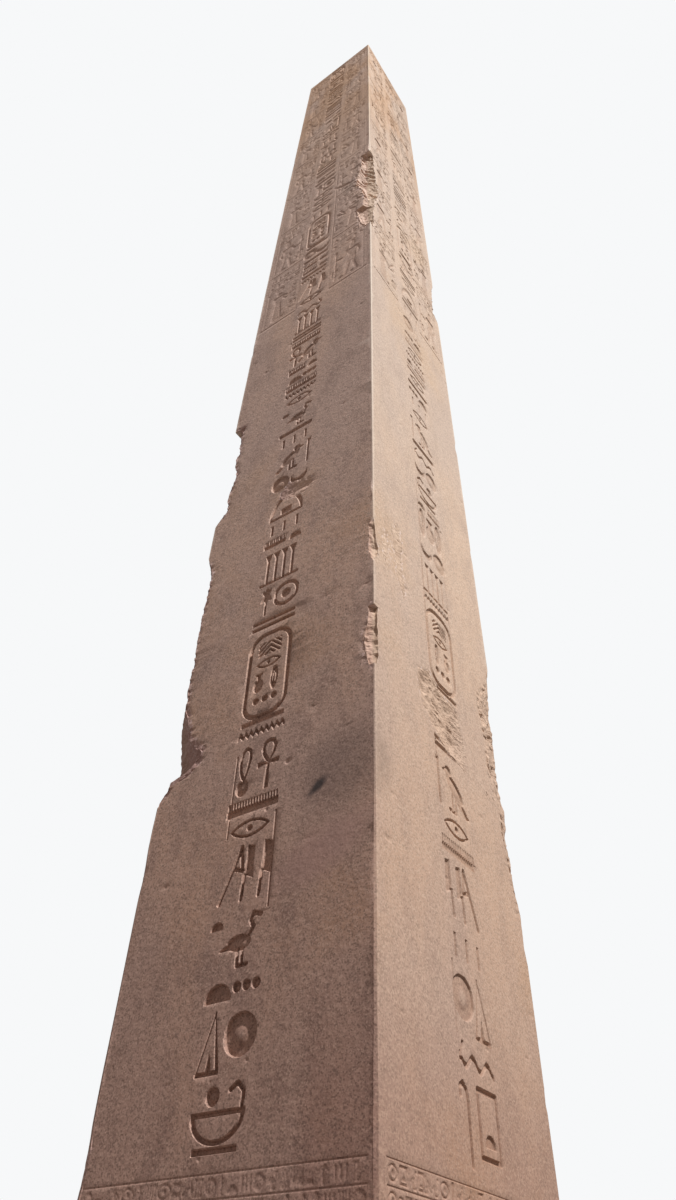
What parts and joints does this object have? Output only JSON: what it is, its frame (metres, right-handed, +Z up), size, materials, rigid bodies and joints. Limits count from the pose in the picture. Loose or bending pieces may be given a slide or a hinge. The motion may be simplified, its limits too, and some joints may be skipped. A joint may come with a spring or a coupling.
{
  "type": "obelisk",
  "caption": "Tall tapered four-sided granite needle with a pyramid top and broken arrises, on a square pedestal and a ground course of dressed blocks.",
  "frame": {"origin": "centre of the underside of the ground course, at ground level", "axes": "+Z up the needle; the front face looks along -Y and the right face along +X"},
  "size_m": [3.9, 3.9, 31.46],
  "materials": {
    "granite": "fine dressed, weathered",
    "pedestal_granite": "dressed, weathered",
    "sandstone": "tooled, weathered"
  },
  "bodies": {
    "root": {"monolith": "granite", "pedestal": "pedestal_granite", "ground_course_front_1": "sandstone", "ground_course_front_2": "sandstone", "ground_course_front_3": "sandstone", "ground_course_right_1": "sandstone", "ground_course_right_2": "sandstone", "ground_course_right_3": "sandstone", "ground_course_back_1": "sandstone", "ground_course_back_2": "sandstone", "ground_course_back_3": "sandstone", "ground_course_left_1": "sandstone", "ground_course_left_2": "sandstone", "ground_course_left_3": "sandstone", "ground_course_core_1": "sandstone", "ground_course_core_2": "sandstone", "ground_course_core_3": "sandstone"}
  },
  "joints": []
}
